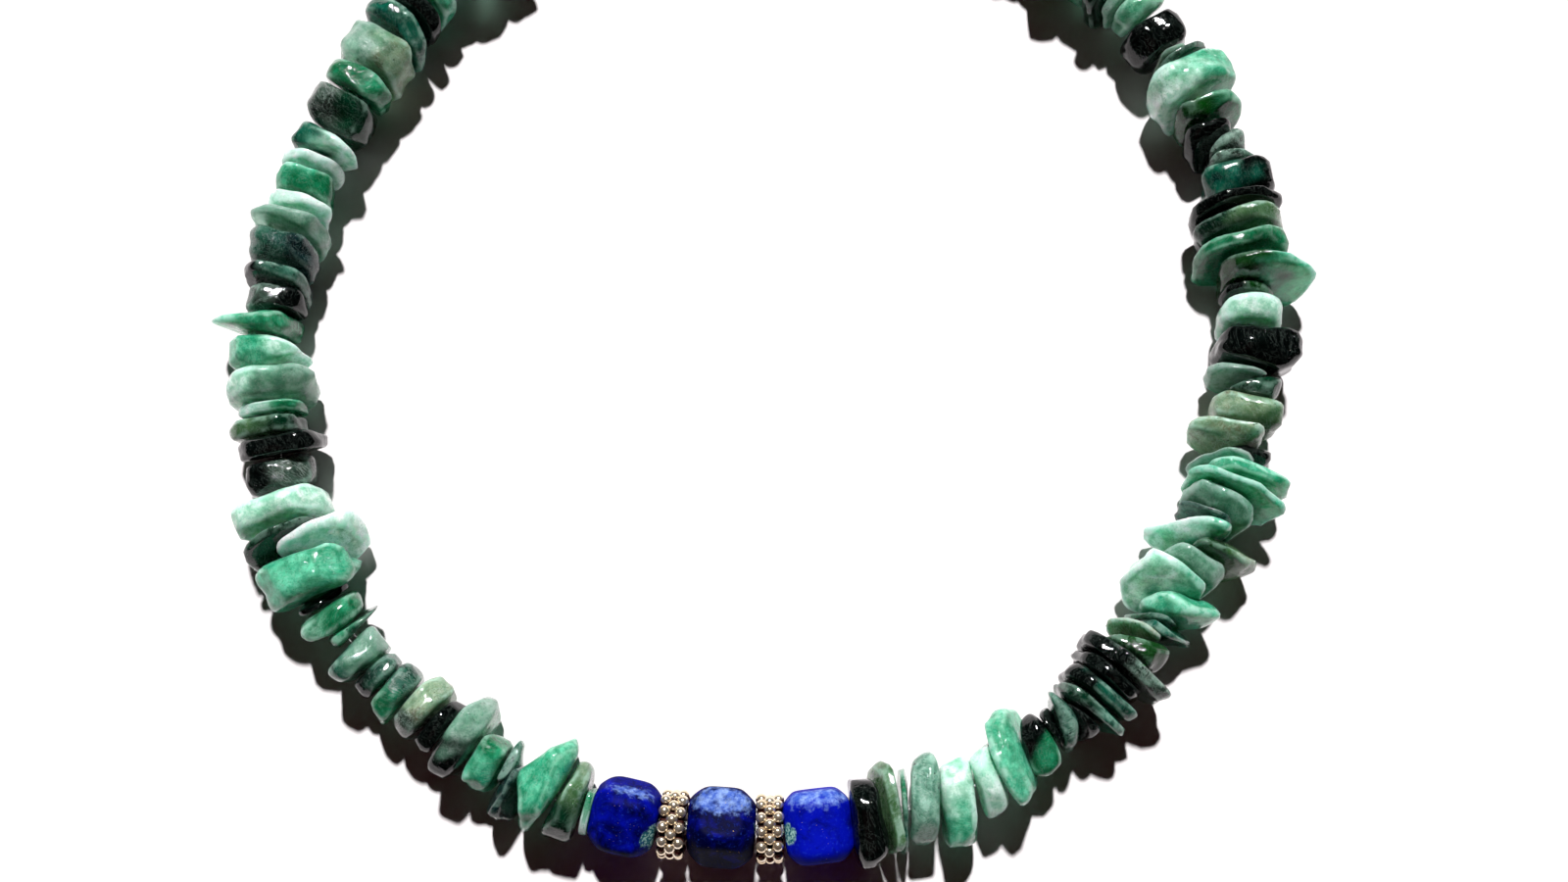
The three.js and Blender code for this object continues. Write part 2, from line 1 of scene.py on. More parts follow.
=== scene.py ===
"""A stretch anklet: tumbled emerald chips on a clear elastic cord, with a front row of three
faceted lapis lazuli cubes and two gold granulated spacers, lying on a pale table.

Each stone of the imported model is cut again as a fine, drilled and polished one: its planes are
read from the CAD node and rounded, and the chips are also dented and chipped as tumbling does it.
The spacers and the cord are built anew in the places that the CAD gives them.

Lengths are in millimetres, apart from those of the stage at the end, which say so. A bead's own
frame has x along the cord, y inwards and z up.
"""

import math

import bpy
import numpy as np
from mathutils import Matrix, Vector


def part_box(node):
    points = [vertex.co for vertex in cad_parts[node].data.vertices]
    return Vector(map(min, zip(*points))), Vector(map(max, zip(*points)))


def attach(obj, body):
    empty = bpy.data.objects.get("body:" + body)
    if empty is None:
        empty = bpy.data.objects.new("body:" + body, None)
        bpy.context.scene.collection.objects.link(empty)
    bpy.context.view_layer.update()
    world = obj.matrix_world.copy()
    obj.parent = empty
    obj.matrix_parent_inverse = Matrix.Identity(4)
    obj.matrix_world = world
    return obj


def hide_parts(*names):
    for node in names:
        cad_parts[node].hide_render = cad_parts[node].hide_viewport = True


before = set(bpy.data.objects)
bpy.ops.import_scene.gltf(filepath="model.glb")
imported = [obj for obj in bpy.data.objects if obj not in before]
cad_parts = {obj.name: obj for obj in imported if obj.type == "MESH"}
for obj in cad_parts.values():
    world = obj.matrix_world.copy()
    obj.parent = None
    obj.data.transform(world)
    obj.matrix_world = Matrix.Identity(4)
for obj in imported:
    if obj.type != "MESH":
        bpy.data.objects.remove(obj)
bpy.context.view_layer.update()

MM = 0.001

# The cord's way round, as the CAD part has it: angle from the front in degrees, distance from
# the loop's middle and height over the table.
LOOP_MIDDLE = (0.060, -1.944)
LOOP_STATIONS = [
    (-5, 37, 3.05), (0, 37, 2.8), (5, 37, 2.5), (15, 37, 2.75), (30, 37, 2.8), (60, 37, 2.8),
    (90, 38, 2.8), (120, 39.5, 2.8), (150, 40.5, 2.8), (180, 40.5, 2.8), (210, 40, 2.8),
    (240, 38.5, 2.8), (270, 38.5, 2.8), (300, 39, 2.8), (330, 38, 2.8), (345, 37.5, 2.9),
]
STATION_STEPS = 120
CORD_RADIUS = 0.3
CORD_SIDES = 12
CORD_STRIDE = 8  # steps of the line for each section of the cord
CORD_GRAIN = 0.15  # how far the elastic's grain moves on at each step

# How a bead is found in its CAD node.
THREAD_REACH = 0.76  # corners of a CAD node this near the cord's line belong to its bore or thread
SMALLEST_FACET = 0.02  # twice the area, in square millimetres
SAME_NORMAL = 0.99  # facets whose normals and distances agree this well are one plane
SAME_REACH = 0.12
LEAST_REACH = 0.08  # a plane nearer the bore's middle than this is a wall of the bore
SIDE_SLOPE = 0.5  # a normal that points along the cord by more than this belongs to a side
CROSSED_SLOPE = 0.2  # and by more than this to a plane that the cord's line may cross

# How a bead is cut.
BORE_RADIUS = 0.5
BORE_WAIST = 0.9  # the bore's share of that radius inside its rims
BORE_RIM = 0.07
BORE_ROWS = 5
SLANT_STEPS = 150
FIRST_SLANT = 0.02  # radians between the cord's line and the first point cut
HALVINGS = 15  # steps of the search for a rounded bead's surface
TINY = 1e-6
EDGE_FADE = 0.3  # the painted edge shade and edge highlight reach their full strength this far from the bore's wall
STRETCH_FADE = 0.6  # and so does the stretch
WEAR_FADE = 0.8  # and the wear
FILL = 0.04  # how far a chip reaches past its CAD chip each way, before the wear. The CAD's gap is 0.12.
LEAST_STRETCH = 0.7
MOST_STRETCH = (2.0, 1.1, 1.1)  # along the cord, inwards and up

# How tumbling wears a chip. Heights and depths of lumps and scoops are shares of its reach.
WAVES = 14  # in a random field
WAVE_SPREAD = (0.7, 1.8)  # shortest and longest wave, in shares of the field's scale
LUMPS = ((0.06, 3.5), (0.03, 1.6))  # height and scale
SCOOPS = 3
SCOOP_DEPTH = (0.03, 0.1)
SCOOP_WIDTH = (0.05, 0.16)
SCOOP_WAYS = (0.5, 1, 1)  # scoops and flats lie more across the cord than along it
PINCH = 0.05  # the sides towards the neighbours draw in by this share, more or less
MOST_PINCH = 0.12
PINCH_SCALE = 0.5  # of the chip's size
FLATS = 7  # small flats broken off each chip
FLAT_DEPTH = (0.06, 0.22)
FLAT_WAYS = (0.4, 1, 1)
TABLE_GAP = 0.02  # under the lowest chips

CHIP_DETAIL = (40, 40)  # points round the bore and over the outside
CHIP_SHARPNESS = (4.5, 7)
THIN_CHIP = 1.6  # a chip thinner than this is cut sharper
CHIP_SWELL = 0.34  # how far all planes but the sides move out, because rounding draws them in

CUBE_NODES = ("lapis_left", "lapis_middle", "lapis_right")
CUBE_DETAIL = (128, 104)
CUBE_SHARPNESS = 9
CUBE_SWELL = 0.15
CUBE_FACES = 6
# How far each cube's blue leans to the brighter of its two colours.
CUBE_VIVID = {"lapis_left": 0.06, "lapis_middle": -0.1, "lapis_right": 0.24}

SPACER_NODES = ("spacer_left", "spacer_right")
GRANULE_RADIUS = 0.44
GRANULE_SIZES = (0.95, 1.04)
GRANULES = 12  # in each ring
RINGS = 3
RING_PITCH = 0.61
RING_RADIUS = 2.12
SLIP_ROUND = 0.03  # how far granules sit out of place: round the ring, in shares of their spacing
SLIP_OUT = 0.02  # away from the cord
SLIP_ALONG = 0.015
CORE_ROUNDS = 48
CORE_RADIUS = 1.8915
CORE_BEVEL = 0.12
CORE_OVERHANG = 0.55  # of a granule's radius: how far the core passes the outer rings' middles
CORE_HOLE = 0.62
CORE_HOLE_RIM = (0.1, 0.75)  # depth and outer radius of the bevel round the hole
PATINA_AND_SHADE_RADIUS = 1.95  # granules are brown within this distance from the cord's line: patina and painted shade where they meet the core
PATINA_AND_SHADE_FADE = 0.5

# Looks of the emerald, by name: body colour, second colour, share of the second,
# black specks, clearness, milkiness and pale veils.
LOOKS = {
    "mint": ("#2aa67e", "#72d3ae", 0.42, 0.10, 0.26, 0.60, 0.18),
    "pale": ("#a8e6c9", "#eafbf2", 0.45, 0.02, 0.15, 0.80, 0.25),
    "emerald": ("#067447", "#33ab7c", 0.38, 0.14, 0.42, 0.42, 0.14),
    "grass": ("#0f5316", "#062a0c", 0.40, 0.18, 0.42, 0.25, 0.06),
    "deep": ("#053a24", "#021710", 0.45, 0.30, 0.20, 0.15, 0.06),
    "teal": ("#127a62", "#04352f", 0.40, 0.15, 0.42, 0.40, 0.12),
    "slate": ("#14383a", "#06151a", 0.45, 0.25, 0.20, 0.15, 0.12),
    "olive": ("#7ba073", "#44693f", 0.40, 0.17, 0.44, 0.45, 0.24),
    "sage": ("#54a884", "#98d4b6", 0.42, 0.14, 0.42, 0.55, 0.22),
    "clear": ("#92cfb1", "#cff0df", 0.40, 0.20, 0.60, 0.50, 0.45),
    "glass": ("#e4f4ec", "#fcfefd", 0.50, 0.02, 0.05, 0.95, 0.40),
    "mottled": ("#5a9c84", "#a8d6c2", 0.48, 0.28, 0.42, 0.40, 0.55),
    "smoke": ("#589480", "#234039", 0.42, 0.28, 0.52, 0.35, 0.35),
    "cream": ("#a8bf9f", "#6a5a3e", 0.32, 0.22, 0.34, 0.55, 0.40),
    "grey": ("#566159", "#171c19", 0.45, 0.35, 0.20, 0.25, 0.30),
    "black": ("#020404", "#060d0b", 0.35, 0.10, 0.00, 0.00, 0.03),
}

# The chips' looks from the right-hand cube away, then from the left-hand cube away.
# With ">", the outer end has the first look and the inner end the second.
RIGHT_LOOKS = """
    black olive teal>emerald mottled mint>pale pale mint emerald>black black smoke black
    teal>deep teal>black black grey>black grass cream teal
    smoke mint mint>pale clear olive>grass mint>pale slate sage mint mint clear black
    cream olive>cream deep clear black pale grass>black mint>grass emerald olive>deep black
    black>teal grey grey black emerald>grass mint>pale deep olive black
    sage clear deep
""".split()
# In the second row, the black after sage>emerald is painted shade: a black chip set where the side of
# the next chip lies in shade.
LEFT_LOOKS = """
    pale>emerald deep>olive mint slate smoke mint>emerald black>clear black grey>cream
    emerald>smoke black>smoke teal>clear emerald>deep sage>emerald black mint glass
    deep pale black>grey black olive>deep pale>emerald pale>clear mint>pale mint>emerald
    grey>black black>smoke smoke>slate clear pale mint>emerald pale teal>pale grey>deep emerald
    clear>cream teal black mint
""".split()
# What the looks of the chips at the back are drawn from, which the photograph doesn't show.
BACK_LOOKS = "mint deep emerald black pale teal>deep olive grass clear slate mint>pale sage".split()

# How a chip's outer look gives way to its inner one, half-way across it.
LOOK_SLOPE = 2.2
LOOK_WAVE = 0.35  # the border winds by this much
LOOK_WAVE_SCALE = 2.0

# Patches on the cubes: which cube, place in its own frame, radius, kind and strength. The calcite
# patches high on each cube's inner side are a painted sheen, a pale band where the lamp from behind
# lights the back top edge.
LAPIS_PATCHES = [
    ("lapis_left", (2.2, -0.8, 1.2), 1.5, "matrix", 0.75),
    ("lapis_left", (-0.4, -2.2, 0.6), 0.5, "calcite_and_sheen", 0.6),
    ("lapis_left", (0.2, 2.3, 1.6), 1.5, "calcite_and_sheen", 0.55),
    ("lapis_middle", (-0.2, 2.4, 1.9), 1.9, "calcite_and_sheen", 0.66),
    ("lapis_middle", (2.2, 0.2, 1.4), 0.9, "matrix", 0.6),
    ("lapis_right", (-2.0, -0.2, 1.6), 1.1, "matrix", 0.85),
    ("lapis_right", (0.3, 2.5, 1.8), 1.9, "calcite_and_sheen", 0.62),
    ("lapis_right", (0.6, -2.3, 1.3), 0.9, "calcite_and_sheen", 0.4),
]
PATCH_SQUEEZE = {"calcite_and_sheen": (0.45, 1, 1), "matrix": (1, 1, 1)}  # calcite and the painted sheen run along the cord as a band
PATCH_FADE = 1.3  # radii from its middle to where a patch ends

# The emerald's darker tints, as shares of its body colour in red, green and blue.
TINTS = {
    "depth": (0.22, 0.42, 0.34),
    "mottle": (0.35, 0.5, 0.45),
    "grit": (0.25, 0.42, 0.36),
    # painted shade: the darker line beside each edge
    "painted_edge_shade": (0.3, 0.5, 0.42),
}

# The other colours. A pair is mixed by a noise.
VEIL = "#d3ecdf"
# painted highlight: the pale rim on the emerald's edges
PAINTED_EDGE_HIGHLIGHT = "#c0edd8"
SPECK = "#0a120f"
ULTRAMARINE = ("#000126", "#030d98")
LAPIS_GRIT = "#2f52d2"
LAPIS_SMUDGE = "#020226"
# pale blue of calcite, and of the painted sheen on the cubes' back top edges
CALCITE_AND_SHEEN = ("#3a58ae", "#86a0d4")
MATRIX = ("#1d5a62", "#9fc7bd")
PYRITE = "#c9a24e"
GOLD = ("#fff4e2", "#ecd2ac")
# patina and painted shade in the spacers' crevices and on their core
PATINA_AND_SHADE = "#3d0f07"
ELASTIC = ("#dfe6e4", "#f6faf9")
TABLE = ("#e6e0e1", "#e9e4e5")

# First seeds: bead number k of its kind draws from its kind's seed plus k.
SEEDS = {"looks": 7, "cube": 57, "spacer": 77, "chip": 107, "flats": 507}
GRAIN_SPREAD = 50  # each bead is cut from its own place in the noise, up to this far off


# ---- colours and curves ----

def linear(hex_colour):
    """The linear colour of an sRGB hex code."""
    shares = [int(hex_colour[i:i + 2], 16) / 255 for i in (1, 3, 5)]
    return tuple(c / 12.92 if c <= 0.04045 else ((c + 0.055) / 1.055) ** 2.4 for c in shares)


def smooth(x):
    """Rises softly from 0 at 0 to 1 at 1."""
    x = np.clip(x, 0, 1)
    return x * x * (3 - 2 * x)


def draws(kind, index=0):
    """The random draws of one bead, the same in each run."""
    return np.random.default_rng(SEEDS[kind] + index)


def angles(count):
    """So many angles, evenly round a full turn."""
    return np.arange(count) * math.tau / count


def cord_line():
    """Points along the closed cord: a centripetal curve through the stations."""
    angle, distance, height = np.array(LOOP_STATIONS, float).T
    angle = np.radians(angle)
    stations = np.stack([
        distance * np.sin(angle) + LOOP_MIDDLE[0],
        -distance * np.cos(angle) + LOOP_MIDDLE[1],
        height,
    ], axis=1)
    line = []
    t = np.linspace(0, 1, STATION_STEPS, endpoint=False)[:, None]
    for i in range(len(stations)):
        p = [stations[(i + k) % len(stations)] for k in (-1, 0, 1, 2)]
        gaps = [math.sqrt(np.linalg.norm(p[k + 1] - p[k])) for k in range(3)]
        leave = (p[1] - p[0]) / gaps[0] - (p[2] - p[0]) / (gaps[0] + gaps[1]) + (p[2] - p[1]) / gaps[1]
        arrive = (p[2] - p[1]) / gaps[1] - (p[3] - p[1]) / (gaps[1] + gaps[2]) + (p[3] - p[2]) / gaps[2]
        leave, arrive = leave * gaps[1], arrive * gaps[1]
        line.append(
            p[1] + leave * t
            + (3 * (p[2] - p[1]) - 2 * leave - arrive) * t ** 2
            + (2 * (p[1] - p[2]) + leave + arrive) * t ** 3
        )
    return np.concatenate(line)


CORD_LINE = cord_line()


def cord_distance(points):
    """Each point's distance from the cord's line, and the nearest step of the line."""
    apart = np.linalg.norm(points[:, None, :] - CORD_LINE[None, :, :], axis=2)
    return apart.min(axis=1), apart.argmin(axis=1)


def cord_frame(step):
    """The line's point at a step, and its directions along, inwards and up, as rows."""
    count = len(CORD_LINE)
    along = CORD_LINE[(step + 1) % count] - CORD_LINE[(step - 1) % count]
    along /= np.linalg.norm(along)
    inwards = np.cross([0, 0, 1], along)
    inwards /= np.linalg.norm(inwards)
    return CORD_LINE[step % count], np.array([along, inwards, np.cross(along, inwards)])


def frame_at(place):
    """The line's point that is nearest to a place, and its directions."""
    _, step = cord_distance(place[None])
    return cord_frame(int(step[0]))


def level(axes):
    """The same directions with the first one level, as the CAD part sets its spacers."""
    along = axes[0] * (1, 1, 0)
    along /= np.linalg.norm(along)
    return np.array([along, np.cross([0, 0, 1], along), [0, 0, 1]])


# ---- the beads of the CAD model ----

def cad_faces(node):
    """Corners of a CAD node, each once, and its triangles."""
    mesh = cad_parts[node].data
    corners = np.zeros(len(mesh.vertices) * 3)
    mesh.vertices.foreach_get("co", corners)
    mesh.calc_loop_triangles()
    triangles = np.zeros(len(mesh.loop_triangles) * 3, int)
    mesh.loop_triangles.foreach_get("vertices", triangles)
    corners, order = np.unique(np.round(corners.reshape(-1, 3) / MM, 3), axis=0, return_inverse=True)
    return corners, order.reshape(-1)[triangles].reshape(-1, 3)


def joined_corners(count, triangles):
    """A label for each corner, the same for all corners that the triangles join."""
    label = np.arange(count)
    while True:
        lowest = label[triangles].min(axis=1)
        before = label.copy()
        for k in range(3):
            np.minimum.at(label, triangles[:, k], lowest)
        if (label == before).all():
            return label


def stone_planes(corners, triangles, middle):
    """The planes of a faceted stone, largest first: outward normals and distances from its middle."""
    a, b, c = (corners[triangles[:, k]] for k in range(3))
    normals = np.cross(b - a, c - a)
    areas = np.linalg.norm(normals, axis=1)
    found = []
    for i in np.argsort(-areas):
        if areas[i] < SMALLEST_FACET:
            break
        normal = normals[i] / areas[i]
        reach = float(normal @ (a[i] - middle))
        if all(normal @ n < SAME_NORMAL or abs(reach - r) > SAME_REACH for n, r in found):
            found.append((normal, reach))
    return np.array([n for n, _ in found]), np.array([r for _, r in found])


def between_neighbours(normals):
    """Which planes are the bead's two sides: the largest that faces each way along the cord."""
    side = np.zeros(len(normals), bool)
    for way in (1, -1):
        side[np.argmax(normals[:, 0] * way > SIDE_SLOPE)] = True
    return side


def bead_from(node, corners, triangles):
    """One bead of a CAD node: its planes in its own frame, from the bore's middle."""
    used = np.unique(triangles)
    point, axes = frame_at(corners[used].mean(axis=0))
    normals, reaches = stone_planes(corners, triangles, point)
    normals = normals @ axes.T
    # the bore's middle lies half-way between the planes that the cord's line meets first
    crossed = np.abs(normals[:, 0]) > CROSSED_SLOPE
    meets = reaches[crossed] / normals[crossed, 0]
    to_middle = (meets[meets > 0].min() + meets[meets < 0].max()) / 2
    point = point + axes[0] * to_middle
    reaches = reaches - normals[:, 0] * to_middle
    outer = reaches > LEAST_REACH
    normals, reaches = normals[outer], reaches[outer]
    place = (corners[used] - point) @ axes.T
    low, high = place.min(axis=0), place.max(axis=0)
    return {
        "node": node, "point": point, "axes": axes,
        "normals": normals, "reaches": reaches, "side": between_neighbours(normals),
        "low": low, "high": high, "heft": (low + high) / 2,
        "angle": math.atan2(point[0] - LOOP_MIDDLE[0], LOOP_MIDDLE[1] - point[1]) % math.tau,
    }


def beads_of(node):
    """The beads that a CAD node holds, without their bores and the thread between them."""
    corners, triangles = cad_faces(node)
    distance, _ = cord_distance(corners)
    outside = triangles[~(distance < THREAD_REACH)[triangles].all(axis=1)]
    label = joined_corners(len(corners), outside)
    return [
        bead_from(node, corners, outside[label[outside[:, 0]] == one])
        for one in np.unique(label[outside])
    ]


# ---- cutting a bead ----

def off_bore(points, fade):
    """0 at the bore, rising softly to 1 at that distance from its wall."""
    return smooth((np.hypot(points[:, 1], points[:, 2]) - BORE_RADIUS) / fade)


def rounded_reach(bead, directions, sharpness, swell):
    """How far each direction runs from the bore's middle before it leaves the rounded bead.
    Every plane pushes back the more the nearer it is, so edges are round and facets flat."""
    reaches = bead["reaches"] + swell * ~bead["side"]
    slopes = directions @ bead["normals"].T
    flat = np.where(slopes > TINY, reaches / np.maximum(slopes, TINY), np.inf).min(axis=1)
    low, high = np.zeros(len(directions)), flat
    for _ in range(HALVINGS):
        middle = (low + high) / 2
        over = np.exp(sharpness * (middle[:, None] * slopes - reaches)).sum(axis=1) > 1
        high = np.where(over, middle, high)
        low = np.where(over, low, middle)
    return high


def edge_share(grid, bead, sharpness, swell):
    """How sharply the bead turns at each point: 0 on a facet, about 0.3 on a square edge."""
    points = grid.reshape(-1, 3)
    reaches = bead["reaches"] + swell * ~bead["side"]
    push = np.exp(np.minimum(sharpness * (points @ bead["normals"].T - reaches), 2))
    share = push / push.sum(axis=1)[:, None]
    return (1 - np.linalg.norm(share @ bead["normals"], axis=1)) * off_bore(points, EDGE_FADE)


def bead_grid(bead, rounds, rows, sharpness, swell):
    """Points of the drilled bead in its own frame, a closed grid: round the bore, then over the
    outside from the bore's front rim to its back rim and home through the bore."""
    turn = angles(rounds)
    slant = np.linspace(FIRST_SLANT, math.pi - FIRST_SLANT, SLANT_STEPS)
    turns, slants = np.meshgrid(turn, slant, indexing="ij")
    directions = np.stack([
        np.cos(slants), np.sin(slants) * np.cos(turns), np.sin(slants) * np.sin(turns),
    ], axis=-1)
    reach = rounded_reach(bead, directions.reshape(-1, 3), sharpness, swell).reshape(rounds, -1)
    radial, along = reach * np.sin(slants), reach * np.cos(slants)
    grid = np.zeros((rounds, rows + BORE_ROWS, 3))
    for k in range(rounds):
        first = int(np.argmax(radial[k] > BORE_RADIUS))
        last = len(slant) - 1 - int(np.argmax(radial[k][::-1] > BORE_RADIUS))
        r = np.concatenate([[BORE_RADIUS], radial[k][first:last + 1], [BORE_RADIUS]])
        x = np.concatenate([[along[k][first]], along[k][first:last + 1], [along[k][last]]])
        length = np.concatenate([[0], np.cumsum(np.hypot(np.diff(r), np.diff(x)))])
        wanted = np.linspace(0, length[-1], rows)
        r, x = np.interp(wanted, length, r), np.interp(wanted, length, x)
        rim = min(BORE_RIM, (x[0] - x[-1]) / 5)
        inner = np.linspace(x[-1] + rim, x[0] - rim, BORE_ROWS)
        r = np.concatenate([r, np.full(BORE_ROWS, BORE_RADIUS * BORE_WAIST)])
        x = np.concatenate([x, inner])
        grid[k] = np.stack([x, r * math.cos(turn[k]), r * math.sin(turn[k])], axis=1)
    return grid


def fitted(grid, bead):
    """The grid stretched away from its bore until it reaches as far each way as the CAD bead."""
    points = grid.reshape(-1, 3).copy()
    away = off_bore(points, STRETCH_FADE)
    for axis in range(3):
        hold = np.ones(len(points)) if axis == 0 else away
        own_ends = (points[:, axis].max(), points[:, axis].min())
        cad_ends = (bead["high"][axis], bead["low"][axis])
        for own, wanted in zip(own_ends, cad_ends):
            side = points[:, axis] * own > 0
            stretch = (wanted + math.copysign(FILL, own)) / own
            pull = min(max(stretch, LEAST_STRETCH), MOST_STRETCH[axis]) - 1
            points[side, axis] *= 1 + pull * hold[side]
    return points.reshape(grid.shape)


def waves(points, random, scale):
    """A smooth random field, mostly between -1 and 1, with features of about that scale."""
    directions = random.normal(size=(WAVES, 3))
    directions /= np.linalg.norm(directions, axis=1)[:, None]
    pace = math.tau / (scale * random.uniform(*WAVE_SPREAD, WAVES))
    phase = random.uniform(0, math.tau, WAVES)
    return np.cos(points @ (directions * pace[:, None]).T + phase).sum(axis=1) / math.sqrt(WAVES)


def random_way(random, stretch):
    """A random direction, more often along the axes that the stretch favours."""
    way = random.normal(size=3) * stretch
    return way / np.linalg.norm(way)


def tumbled(grid, bead, random):
    """The grid with a tumbled chip's lumps and scoops. Sides towards the neighbours only shrink."""
    points = grid.reshape(-1, 3).copy()
    away = off_bore(points, WEAR_FADE)
    lump = sum(height * waves(points, random, scale) for height, scale in LUMPS)
    from_heft = points - bead["heft"]
    aim = from_heft / np.maximum(np.linalg.norm(from_heft, axis=1), TINY)[:, None]
    for _ in range(SCOOPS):
        off_scoop = 1 - aim @ random_way(random, SCOOP_WAYS)
        lump -= random.uniform(*SCOOP_DEPTH) * np.exp(-(off_scoop / random.uniform(*SCOOP_WIDTH)))
    points[:, 1:] *= (1 + lump * away)[:, None]
    size = (bead["high"] - bead["low"]).max()
    pinch = PINCH * (1 + waves(points, random, size * PINCH_SCALE)) * away
    points[:, 0] *= 1 - np.clip(pinch, 0, MOST_PINCH)
    points[:, 2] = np.maximum(points[:, 2], -bead["point"][2] + TABLE_GAP)
    return points.reshape(grid.shape)


def chipped(grid, random):
    """The grid with small flats broken off it. A flat lies square to a random way out of the stone."""
    points = grid.reshape(-1, 3).copy()
    for _ in range(FLATS):
        way = random_way(random, FLAT_WAYS)
        along = points @ way
        over = along - along.max() + random.uniform(*FLAT_DEPTH)
        points -= np.maximum(over, 0)[:, None] * way
    return points.reshape(grid.shape)


# ---- meshes and pieces ----

def wrapped_faces(rounds, rows):
    """The faces of a grid of points that closes both ways."""
    here = np.arange(rounds * rows).reshape(rounds, rows)
    below, beside = np.roll(here, -1, axis=1), np.roll(here, -1, axis=0)
    both = np.roll(below, -1, axis=0)
    return np.stack([here, below, both, beside], axis=-1).reshape(-1, 4)


def smooth_mesh(name, points, faces):
    """A new mesh that is shaded smooth."""
    mesh = bpy.data.meshes.new(name)
    mesh.from_pydata(points * MM, [], faces)
    mesh.polygons.foreach_set("use_smooth", [True] * len(mesh.polygons))
    mesh.update()
    return mesh


def grid_mesh(name, grids):
    """One mesh of several closed grids."""
    faces, first = [], 0
    for grid in grids:
        rounds, rows = grid.shape[:2]
        faces.append(wrapped_faces(rounds, rows) + first)
        first += rounds * rows
    points = np.concatenate([grid.reshape(-1, 3) for grid in grids])
    return smooth_mesh(name, points, np.concatenate(faces).tolist())


def write_attribute(mesh, name, values):
    """A number or a vector for each point, for the materials."""
    values = np.asarray(values, np.float32)
    kind, field = ("FLOAT_VECTOR", "vector") if values.ndim == 2 else ("FLOAT", "value")
    mesh.attributes.new(name, kind, "POINT").data.foreach_set(field, values.ravel())


def grain_of(points, random):
    """Where each point cuts through the endless block that its material's noise fills."""
    return points + random.uniform(-GRAIN_SPREAD, GRAIN_SPREAD, 3)


def in_place(points, bead):
    """Points from their bead's own frame to the anklet's."""
    return points @ bead["axes"] + bead["point"]


def put(name, data):
    """A new object in the scene."""
    thing = bpy.data.objects.new(name, data)
    bpy.context.scene.collection.objects.link(thing)
    return thing


def add_piece(mesh, name, node, material):
    """Puts a mesh in the scene as the piece that stands for a CAD node."""
    piece = put(name, mesh)
    mesh.materials.append(material)
    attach(piece, "root")
    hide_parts(node)


# ---- materials ----

class Nodes:
    """Short calls to build one material's nodes. A colour may be given as its hex code."""

    def __init__(self, name):
        self.material = bpy.data.materials.new(name)
        self.material.use_nodes = True
        self.tree = self.material.node_tree
        self.shader = self.tree.nodes["Principled BSDF"]

    def plug(self, socket, value):
        if isinstance(value, bpy.types.NodeSocket):
            self.tree.links.new(value, socket)
        elif isinstance(value, str):
            socket.default_value = (*linear(value), 1)
        else:
            socket.default_value = value

    def set(self, **sockets):
        """Sets or links the shader's sockets: base_color is Base Color."""
        for name, value in sockets.items():
            self.plug(self.shader.inputs[name.replace("_", " ").title().replace("Ior", "IOR")], value)

    def attribute(self, name, output="Vector"):
        node = self.tree.nodes.new("ShaderNodeAttribute")
        node.attribute_name = name
        return node.outputs[output]

    def number(self, name):
        return self.attribute(name, "Fac")

    def parts(self, vector):
        node = self.tree.nodes.new("ShaderNodeSeparateXYZ")
        self.plug(node.inputs[0], vector)
        return node.outputs

    def scaled(self, vector, by):
        node = self.tree.nodes.new("ShaderNodeVectorMath")
        node.operation = "MULTIPLY"
        self.plug(node.inputs[0], vector)
        self.plug(node.inputs[1], by)
        return node.outputs[0]

    def noise(self, vector, scale, detail=4, roughness=0.55, distortion=0.0):
        node = self.tree.nodes.new("ShaderNodeTexNoise")
        self.plug(node.inputs["Vector"], vector)
        node.inputs["Scale"].default_value = scale
        node.inputs["Detail"].default_value = detail
        node.inputs["Roughness"].default_value = roughness
        node.inputs["Distortion"].default_value = distortion
        return node.outputs["Fac"]

    def cells(self, vector, scale):
        """The distance from the middle of the nearest of many scattered cells."""
        node = self.tree.nodes.new("ShaderNodeTexVoronoi")
        self.plug(node.inputs["Vector"], vector)
        node.inputs["Scale"].default_value = scale
        return node.outputs["Distance"]

    def range(self, value, low, high, to_low=0.0, to_high=1.0):
        """A soft step from to_low, where the value is low, to to_high, where it is high."""
        node = self.tree.nodes.new("ShaderNodeMapRange")
        node.interpolation_type = "SMOOTHSTEP"
        for name, number in (("Value", value), ("From Min", low), ("From Max", high),
                             ("To Min", to_low), ("To Max", to_high)):
            self.plug(node.inputs[name], number)
        return node.outputs["Result"]

    def maths(self, operation, a, b=0.0):
        node = self.tree.nodes.new("ShaderNodeMath")
        node.operation = operation
        self.plug(node.inputs[0], a)
        self.plug(node.inputs[1], b)
        return node.outputs[0]

    def times(self, a, b):
        return self.maths("MULTIPLY", a, b)

    def plus(self, a, b):
        return self.maths("ADD", a, b)

    def rest(self, share):
        return self.maths("SUBTRACT", 1.0, share)

    def mix(self, share, a, b):
        node = self.tree.nodes.new("ShaderNodeMix")
        node.data_type = "RGBA"
        self.plug(node.inputs["Factor"], share)
        self.plug(node.inputs[6], a)
        self.plug(node.inputs[7], b)
        return node.outputs[2]

    def bump(self, height, strength, distance):
        node = self.tree.nodes.new("ShaderNodeBump")
        node.inputs["Strength"].default_value = strength
        node.inputs["Distance"].default_value = distance
        self.plug(node.inputs["Height"], height)
        return node.outputs["Normal"]


